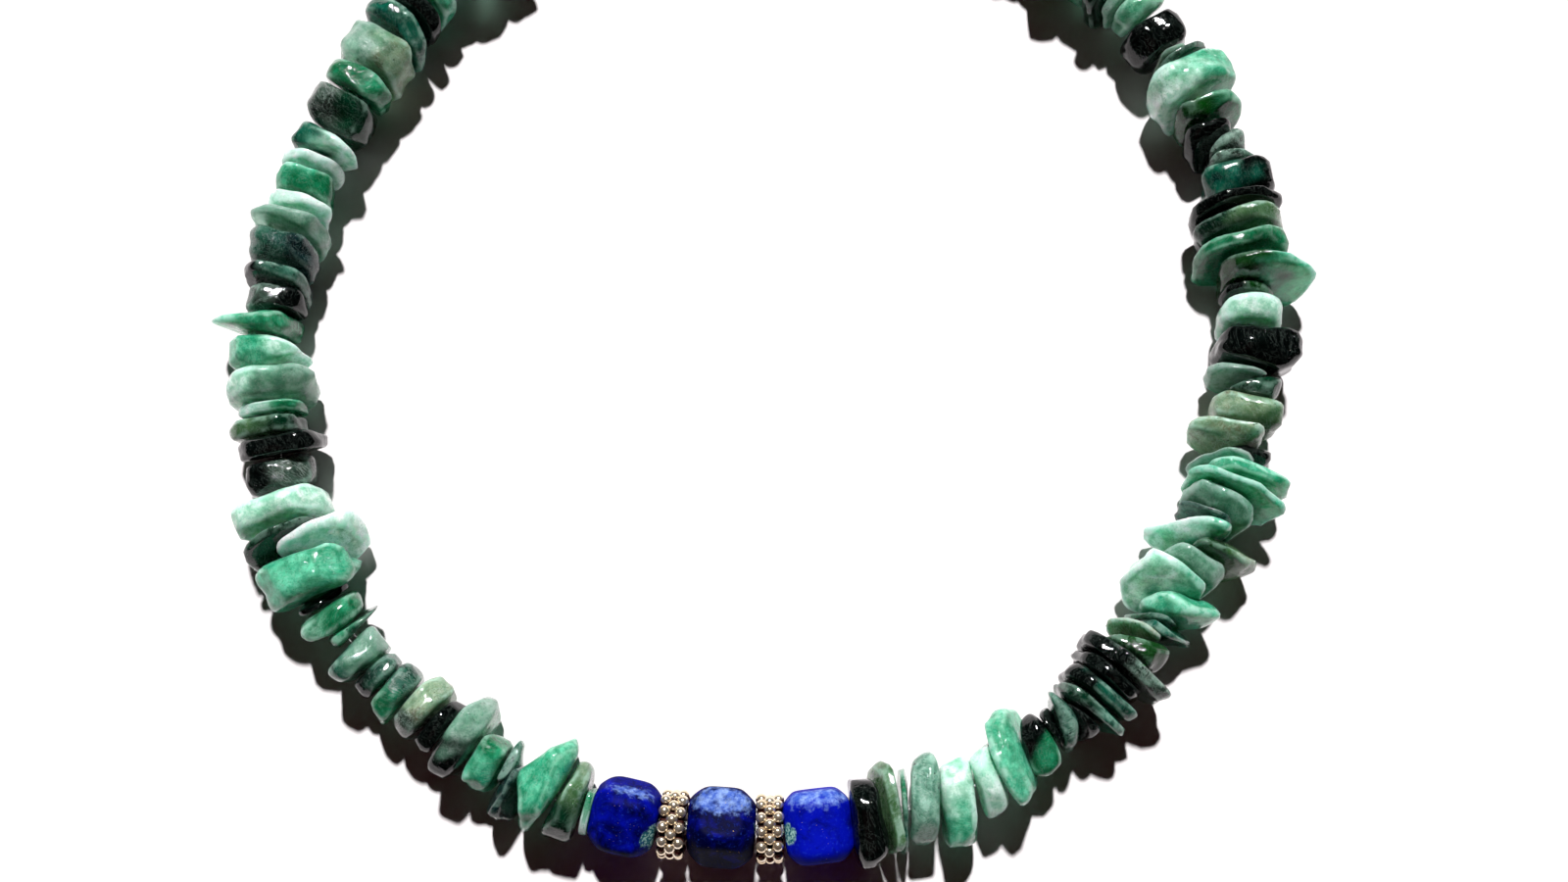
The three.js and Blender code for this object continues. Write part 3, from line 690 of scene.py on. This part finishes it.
def emerald_material():
    """Polished emerald: cloudy body, green depths, pale veils, black specks, a few cracks, and painted
    shade and a painted highlight along the edges.
    """
    n = Nodes("emerald")
    grain = n.attribute("grain")
    tone, second = n.attribute("tone"), n.attribute("second")
    specks, clear, milk = n.parts(n.attribute("flaws"))

    # the body's two colours in clouds, with dark depths
    clouds = n.noise(grain, 0.55, detail=5, roughness=0.6, distortion=0.6)
    colour = n.mix(n.range(n.plus(clouds, n.number("cloud")), 0.73, 1.07), tone, second)
    depth = n.range(n.noise(grain, 1.3, detail=4), 0.38, 0.72, 0.0, 0.55)
    colour = n.mix(depth, colour, n.scaled(tone, TINTS["depth"]))

    # mottling, the less the milkier the stone is, and finer grit
    mottle = n.noise(grain, 3.1, detail=5, roughness=0.7, distortion=0.4)
    spread = n.range(milk, 0.2, 0.6, 0.55, 0.2)
    share = n.times(n.range(mottle, 0.5, 0.74), spread)
    colour = n.mix(share, colour, n.scaled(tone, TINTS["mottle"]))
    share = n.times(n.range(mottle, 0.46, 0.28), spread)
    colour = n.mix(share, colour, second)
    grit = n.noise(grain, 6.5, detail=3, roughness=0.7)
    share = n.times(n.range(grit, 0.53, 0.68), 0.55)
    colour = n.mix(share, colour, n.scaled(tone, TINTS["grit"]))
    colour = n.mix(n.range(grit, 0.46, 0.32, 0.0, 0.4), colour, second)

    # pale veils, thin winding sheets
    streaks = n.noise(n.scaled(grain, (0.35, 1.6, 1.1)), 1.5, detail=6, roughness=0.65, distortion=1.2)
    band = n.maths("SUBTRACT", 0.03, n.maths("ABSOLUTE", n.maths("SUBTRACT", streaks, 0.5)))
    veil = n.times(n.range(band, 0.0, 0.03), n.number("veils"))
    colour = n.mix(veil, colour, VEIL)

    # painted shade beside each edge, a darker line, and a painted highlight on the edge itself, a pale
    # rim on the milkier stones
    edge = n.number("edge")
    uneven = n.range(n.noise(grain, 1.4, detail=4), 0.35, 0.6)
    # painted shade: a darker line just beside each edge
    painted_edge_shade = n.times(n.range(edge, 0.02, 0.07), n.range(edge, 0.2, 0.1))
    painted_edge_shade = n.times(n.times(painted_edge_shade, uneven), 0.55)
    colour = n.mix(painted_edge_shade, colour, n.scaled(tone, TINTS["painted_edge_shade"]))
    # painted highlight: a pale rim along the edges of the milkier stones
    rim = n.times(n.range(edge, 0.08, 0.2), n.times(uneven, milk))
    colour = n.mix(rim, colour, PAINTED_EDGE_HIGHLIGHT)

    # black specks and a few larger black patches
    dots = n.cells(n.scaled(grain, (1.0, 1.4, 0.8)), 2.1)
    patches = n.noise(grain, 0.9, detail=5, roughness=0.7)
    dark = n.times(n.range(dots, 0.26, 0.1), n.range(patches, 0.42, 0.58))
    dark = n.maths("MAXIMUM", dark, n.range(patches, 0.66, 0.72))
    dark = n.times(dark, n.range(specks, 0.0, 0.3))
    colour = n.mix(dark, colour, SPECK)

    # ripples, pits and the veils' cracks in the polish
    ripple = n.noise(grain, 1.1, detail=3, roughness=0.5)
    ripple = n.plus(ripple, n.times(n.noise(grain, 3.6, detail=2), 0.22))
    pits = n.range(n.cells(grain, 3.4), 0.16, 0.05, 0.0, -0.5)
    height = n.plus(ripple, n.plus(pits, n.times(veil, -0.2)))

    n.set(
        base_color=colour,
        roughness=n.range(n.noise(grain, 2.4, detail=4), 0.4, 0.75, 0.04, 0.15),
        transmission_weight=n.times(clear, n.rest(dark)),
        subsurface_weight=n.times(milk, n.rest(dark)),
        subsurface_radius=(0.9, 1.6, 1.25),
        subsurface_scale=1.6 * MM,
        ior=1.58,
        specular_ior_level=0.36,
        normal=n.bump(height, 0.5, 0.12 * MM),
    )
    return n.material


def lapis_material():
    """Polished lapis lazuli: ultramarine with lighter clouds, calcite, a painted sheen on the back top
    edges and a little pyrite.
    """
    n = Nodes("lapis_lazuli")
    grain = n.attribute("grain")

    # ultramarine clouds, pale grit and dark smudges
    clouds = n.noise(grain, 0.8, detail=6, roughness=0.62, distortion=0.5)
    colour = n.mix(n.range(n.plus(clouds, n.number("vivid")), 0.35, 0.85), *ULTRAMARINE)
    grit = n.noise(grain, 4.5, detail=4, roughness=0.7)
    colour = n.mix(n.range(grit, 0.55, 0.8, 0.0, 0.4), colour, LAPIS_GRIT)
    smudges = n.noise(grain, 1.7, detail=5, roughness=0.7)
    colour = n.mix(n.range(smudges, 0.6, 0.78, 0.0, 0.7), colour, LAPIS_SMUDGE)

    # calcite and painted sheen, green matrix and flecks of pyrite
    # painted sheen: the calcite patches high on the inner side stand for the lamp's light on the back
    # top edges
    place = n.plus(n.noise(grain, 1.9, detail=5, roughness=0.65), n.number("calcite_and_sheen"))
    calcite_and_sheen_colour = n.mix(n.range(smudges, 0.36, 0.68), *CALCITE_AND_SHEEN)
    colour = n.mix(n.range(place, 0.86, 1.22, 0.0, 0.85), colour, calcite_and_sheen_colour)
    place = n.plus(n.noise(grain, 1.6, detail=5, roughness=0.7, distortion=0.8), n.number("matrix"))
    green = n.mix(n.range(grit, 0.45, 0.6), *MATRIX)
    colour = n.mix(n.range(place, 0.95, 1.2, 0.0, 0.95), colour, green)
    fleck = n.range(n.cells(n.scaled(grain, (1.0, 1.3, 0.9)), 3.1), 0.085, 0.05)
    fleck = n.times(fleck, n.range(n.noise(grain, 0.9), 0.5, 0.56))
    colour = n.mix(fleck, colour, PYRITE)

    n.set(
        base_color=colour,
        metallic=n.times(fleck, 0.9),
        roughness=n.range(grit, 0.3, 0.75, 0.45, 0.62),
        specular_ior_level=0.02,
        ior=1.52,
        normal=n.bump(n.plus(grit, clouds), 0.25, 0.04 * MM),
    )
    return n.material


def gold_material():
    """Bright granules with brown patina and painted shade between them and over the core."""
    n = Nodes("granulated_gold")
    grain = n.attribute("grain")
    stain = n.noise(grain, 2.2, detail=5, roughness=0.65)
    # patina and painted shade: brown in the crevices near the core, and more where the stains are
    patina_and_shade_mask = n.range(n.plus(n.number("crevice_patina_and_shade"), n.times(stain, 0.5)), 0.42, 0.88)
    colour = n.mix(n.range(stain, 0.3, 0.7), *GOLD)
    n.set(
        base_color=n.mix(patina_and_shade_mask, colour, PATINA_AND_SHADE),
        metallic=n.range(patina_and_shade_mask, 0.2, 1.0, 0.9, 0.5),
        roughness=n.range(patina_and_shade_mask, 0.0, 1.0, 0.2, 0.55),
        normal=n.bump(stain, 0.3, 0.03 * MM),
    )
    return n.material


def cord_material():
    """Clear elastic with fine lines along it."""
    n = Nodes("clear_elastic")
    lines = n.noise(n.scaled(n.attribute("grain"), (0.3, 3.0, 3.0)), 2.0, detail=3)
    n.set(
        base_color=n.mix(lines, *ELASTIC),
        roughness=n.range(lines, 0.3, 0.7, 0.15, 0.3),
        transmission_weight=0.8,
        ior=1.48,
    )
    return n.material


def table_material():
    """The pale table: matt, faintly rosy, with a barely seen tooth."""
    n = Nodes("pale_table")
    place = n.tree.nodes.new("ShaderNodeTexCoord").outputs["Object"]
    tooth = n.noise(place, 900, detail=3)
    n.set(
        base_color=n.mix(tooth, *TABLE),
        roughness=0.7,
        specular_ior_level=0.25,
        normal=n.bump(tooth, 0.08, 0.02 * MM),
    )
    return n.material


# ---- the pieces ----

def look_values(name):
    """A look's colours and shares as one row: body, second, cloud, specks, clear, milk, veils."""
    body, second, *shares = LOOKS[name]
    return np.array([*linear(body), *linear(second), *shares])


def stone_attributes(grid, bead, look, random):
    """What the emerald material reads, for each point of a stone."""
    points = grid.reshape(-1, 3)
    outer, inner = (look.split(">") * 2)[:2]
    across = (bead["high"][1] - points[:, 1]) / (bead["high"][1] - bead["low"][1])
    wave = LOOK_WAVE * waves(points, random, LOOK_WAVE_SCALE)
    share = smooth((across - 0.5) * LOOK_SLOPE + 0.5 + wave)[:, None]
    values = look_values(inner) * (1 - share) + look_values(outer) * share
    spin = np.linalg.qr(random.normal(size=(3, 3)))[0]
    return {
        "grain": grain_of(points @ spin, random),
        "tone": values[:, 0:3],
        "second": values[:, 3:6],
        "cloud": values[:, 6],
        "flaws": values[:, 7:10],
        "veils": values[:, 10],
    }


def all_chips():
    """Every emerald chip in its order on the cord, from the right-hand cube round."""
    nodes = [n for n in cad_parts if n.startswith("chip_")]
    return sorted((bead for n in nodes for bead in beads_of(n)), key=lambda bead: bead["angle"])


def chip_looks(count):
    """A look for each chip in that order."""
    random = draws("looks")
    back = count - len(RIGHT_LOOKS) - len(LEFT_LOOKS)
    filler = [str(random.choice(BACK_LOOKS)) for _ in range(back)]
    return RIGHT_LOOKS + filler + LEFT_LOOKS[::-1]


def add_chips(material):
    chips = all_chips()
    made = {}
    for index, (bead, look) in enumerate(zip(chips, chip_looks(len(chips)))):
        random = draws("chip", index)
        thickness = bead["high"][0] - bead["low"][0]
        sharpness = random.uniform(*CHIP_SHARPNESS) * max(1, THIN_CHIP / thickness)
        cut = bead_grid(bead, *CHIP_DETAIL, sharpness, CHIP_SWELL)
        worn = tumbled(fitted(cut, bead), bead, random)
        grid = chipped(worn, draws("flats", index))
        values = stone_attributes(grid, bead, look, random)
        values["edge"] = edge_share(cut, bead, sharpness, CHIP_SWELL)
        made.setdefault(bead["node"], []).append((in_place(grid, bead), values))
    for node, stones in made.items():
        mesh = grid_mesh(node + "_stones", [grid for grid, _ in stones])
        for name in stones[0][1]:
            write_attribute(mesh, name, np.concatenate([values[name] for _, values in stones]))
        add_piece(mesh, node.replace("chip_", "emerald_"), node, material)


def patch_strength(node, kind, points):
    """How strongly a cube's patches of one kind show at each point."""
    amount = np.zeros(len(points))
    for owner, place, radius, patch, strength in LAPIS_PATCHES:
        if owner == node and patch == kind:
            apart = np.linalg.norm((points - place) * PATCH_SQUEEZE[patch], axis=1)
            amount = np.maximum(amount, strength * smooth(PATCH_FADE - apart / radius))
    return amount


def add_cubes(material):
    for index, node in enumerate(CUBE_NODES):
        bead = beads_of(node)[0]
        # the faces are the largest planes and keep their place, the cut edges and corners swell
        bead["side"][:CUBE_FACES] = True
        grid = bead_grid(bead, *CUBE_DETAIL, CUBE_SHARPNESS, CUBE_SWELL)
        points = grid.reshape(-1, 3)
        mesh = grid_mesh(node + "_cube", [in_place(grid, bead)])
        for kind in PATCH_SQUEEZE:
            write_attribute(mesh, kind, patch_strength(node, kind, points))
        write_attribute(mesh, "grain", grain_of(points, draws("cube", index)))
        write_attribute(mesh, "vivid", np.full(len(points), CUBE_VIVID[node]))
        add_piece(mesh, node.replace("lapis_", "lapis_cube_"), node, material)


def ball(centre, radius, rounds=20, rows=12):
    """A small sphere as points and faces."""
    turn = angles(rounds)
    slant = np.linspace(0, math.pi, rows + 1)[1:-1]
    ring = np.stack([
        np.outer(np.cos(slant), np.ones(rounds)),
        np.outer(np.sin(slant), np.cos(turn)),
        np.outer(np.sin(slant), np.sin(turn)),
    ], axis=-1).reshape(-1, 3)
    points = np.concatenate([[[1, 0, 0]], ring, [[-1, 0, 0]]]) * radius + centre
    last = len(points) - 1
    faces = []
    for k in range(rounds):
        other = (k + 1) % rounds
        faces.append([0, 1 + k, 1 + other])
        for row in range(rows - 2):
            a, b = 1 + row * rounds, 1 + (row + 1) * rounds
            faces.append([a + k, b + k, b + other, a + other])
        bottom = 1 + (rows - 2) * rounds
        faces.append([bottom + k, last, bottom + other])
    return points, faces


def spacer_core():
    """The drilled core that the granules sit on: a bevelled profile spun about the cord."""
    end = RING_PITCH * (RINGS - 1) / 2 + GRANULE_RADIUS * CORE_OVERHANG
    shoulder = end - CORE_BEVEL
    rim, rim_radius = CORE_HOLE_RIM
    profile = [
        (end, CORE_RADIUS - CORE_BEVEL), (shoulder, CORE_RADIUS),
        (-shoulder, CORE_RADIUS), (-end, CORE_RADIUS - CORE_BEVEL),
        (-end, rim_radius), (-end + rim, CORE_HOLE),
        (end - rim, CORE_HOLE), (end, rim_radius),
    ]
    points = np.array([
        (x, r * math.cos(turn), r * math.sin(turn)) for turn in angles(CORE_ROUNDS) for x, r in profile
    ])
    return points, wrapped_faces(CORE_ROUNDS, len(profile)).tolist()


def granules(random):
    """The rings of granules, the middle one staggered, each granule a little out of place."""
    found = []
    for ring in range(RINGS):
        x = (ring - (RINGS - 1) / 2) * RING_PITCH
        for k in range(GRANULES):
            turn = (k + (ring % 2) / 2 + random.normal() * SLIP_ROUND) * math.tau / GRANULES
            r = RING_RADIUS + random.normal() * SLIP_OUT
            centre = np.array([x + random.normal() * SLIP_ALONG, r * math.cos(turn), r * math.sin(turn)])
            found.append(ball(centre, GRANULE_RADIUS * random.uniform(*GRANULE_SIZES)))
    return found


def add_spacers(material):
    for index, node in enumerate(SPACER_NODES):
        random = draws("spacer", index)
        low, high = (np.array(corner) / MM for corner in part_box(node))
        middle = (low + high) / 2
        axes = level(frame_at(middle)[1])
        core_points, faces = spacer_core()
        points = [core_points]
        # the whole core is brown: patina and painted shade between the granules
        crevice_patina_and_shade = [np.ones(len(core_points))]
        first = len(core_points)
        for own, own_faces in granules(random):
            points.append(own)
            faces += [[v + first for v in face] for face in own_faces]
            from_cord = np.hypot(own[:, 1], own[:, 2])
            crevice_patina_and_shade.append(1 - smooth((from_cord - PATINA_AND_SHADE_RADIUS) / PATINA_AND_SHADE_FADE))
            first += len(own)
        points = np.concatenate(points)
        mesh = smooth_mesh(node + "_gold", points @ axes + middle, faces)
        write_attribute(mesh, "grain", grain_of(points, random))
        write_attribute(mesh, "crevice_patina_and_shade", np.concatenate(crevice_patina_and_shade))
        add_piece(mesh, node.replace("spacer_", "gold_spacer_"), node, material)


def add_cord(material):
    """The elastic as one closed loop through every bead."""
    turn = angles(CORD_SIDES)
    grid, grain = [], []
    for step in range(0, len(CORD_LINE), CORD_STRIDE):
        point, axes = cord_frame(step)
        ring = np.outer(np.cos(turn), axes[1]) + np.outer(np.sin(turn), axes[2])
        grid.append(point + ring * CORD_RADIUS)
        along = np.full(CORD_SIDES, step * CORD_GRAIN)
        grain.append(np.stack([along, np.cos(turn), np.sin(turn)], axis=1))
    # the grid's faces point outwards when it goes round the cord first, and back along the loop
    grid, grain = (np.array(sections).transpose(1, 0, 2)[:, ::-1] for sections in (grid, grain))
    mesh = grid_mesh("elastic_loop", [grid])
    write_attribute(mesh, "grain", grain.reshape(-1, 3))
    add_piece(mesh, "elastic_loop", "elastic_cord", material)


# ---- the stage ----

# Places of the camera and the lamps, seen from what they aim at: azimuth in degrees (0 in front,
# 90 to the right), degrees over the table and metres away. Sizes are in metres too.
# The lens and the sensor are in millimetres.
CAMERA_PLACE = (0, 82, 0.121)
CAMERA_AIM = (1.5 * MM, -9.7 * MM, 3 * MM)
LENS = 36
SENSOR = 36
NEAR_CLIP = 0.01

TABLE_HALF = 4.0

LAMP_AIM = (0, 0, 0)
KEY_PLACE = (180, 49, 1.5)
KEY_STRENGTH = 6.2
KEY_WIDTH = 3.5  # degrees across, so the shadows' edges are nearly crisp, as in the photograph
FILL_PLACE = (-25, 55, 0.5)
FILL_SIZE = 0.4
FILL_POWER = 0.015
FILL_COLOUR = (1, 0.25, 0.3)  # the photograph's front shadows are reddish

# What the world lights with, and what the camera sees of it.
GLOW_COLOUR = (1, 0.15, 0.2, 1)
GLOW_STRENGTH = 0.007
BACKDROP_COLOUR = (1, 1, 1, 1)
BACKDROP_STRENGTH = 1.0


def around(place, aim):
    """The point that lies at an azimuth, elevation and distance from aim."""
    azimuth, elevation, distance = place
    a, e = math.radians(azimuth), math.radians(elevation)
    way = Vector((math.sin(a) * math.cos(e), -math.cos(a) * math.cos(e), math.sin(e)))
    return Vector(aim) + way * distance


def set_up(thing, place, aim):
    """Puts a camera or a lamp in its place and turns it to what it aims at."""
    start = around(place, aim)
    thing.location = start
    thing.rotation_mode = "QUATERNION"
    thing.rotation_quaternion = (Vector(aim) - start).to_track_quat("-Z", "Y")


def add_camera():
    data = bpy.data.cameras.new("camera")
    data.lens = LENS
    data.sensor_width = SENSOR
    data.clip_start = NEAR_CLIP
    camera = put("camera", data)
    set_up(camera, CAMERA_PLACE, CAMERA_AIM)
    bpy.context.scene.camera = camera


def add_table():
    side = TABLE_HALF
    mesh = bpy.data.meshes.new("table_top")
    corners = [(-side, -side, 0), (side, -side, 0), (side, side, 0), (-side, side, 0)]
    mesh.from_pydata(corners, [], [(0, 1, 2, 3)])
    mesh.materials.append(table_material())
    put("table_top", mesh)


def add_lamps():
    """One narrow lamp from behind, as in the photograph, and a weak fill from the front."""
    data = bpy.data.lights.new("key_light", "SUN")
    data.energy = KEY_STRENGTH
    data.angle = math.radians(KEY_WIDTH)
    set_up(put("key_light", data), KEY_PLACE, LAMP_AIM)
    data = bpy.data.lights.new("front_fill", "AREA")
    data.shape = "DISK"
    data.size = FILL_SIZE
    data.energy = FILL_POWER
    data.color = FILL_COLOUR
    fill = put("front_fill", data)
    fill.visible_camera = False
    set_up(fill, FILL_PLACE, LAMP_AIM)


def add_backdrop():
    """A world that the camera sees as a white studio, and that lights the scene only faintly."""
    world = bpy.data.worlds.new("studio")
    world.use_nodes = True
    tree = world.node_tree
    seen = tree.nodes.new("ShaderNodeLightPath").outputs["Is Camera Ray"]
    for socket, kind, inputs, lit, shown in (
        ("Color", "RGBA", (6, 7, 2), GLOW_COLOUR, BACKDROP_COLOUR),
        ("Strength", "FLOAT", (2, 3, 0), GLOW_STRENGTH, BACKDROP_STRENGTH),
    ):
        a, b, result = inputs
        mix = tree.nodes.new("ShaderNodeMix")
        mix.data_type = kind
        mix.inputs[a].default_value = lit
        mix.inputs[b].default_value = shown
        tree.links.new(seen, mix.inputs["Factor"])
        tree.links.new(mix.outputs[result], tree.nodes["Background"].inputs[socket])
    bpy.context.scene.world = world


add_camera()
add_cord(cord_material())
add_chips(emerald_material())
add_cubes(lapis_material())
add_spacers(gold_material())
add_table()
add_lamps()
add_backdrop()
bpy.context.scene.view_settings.view_transform = "Standard"
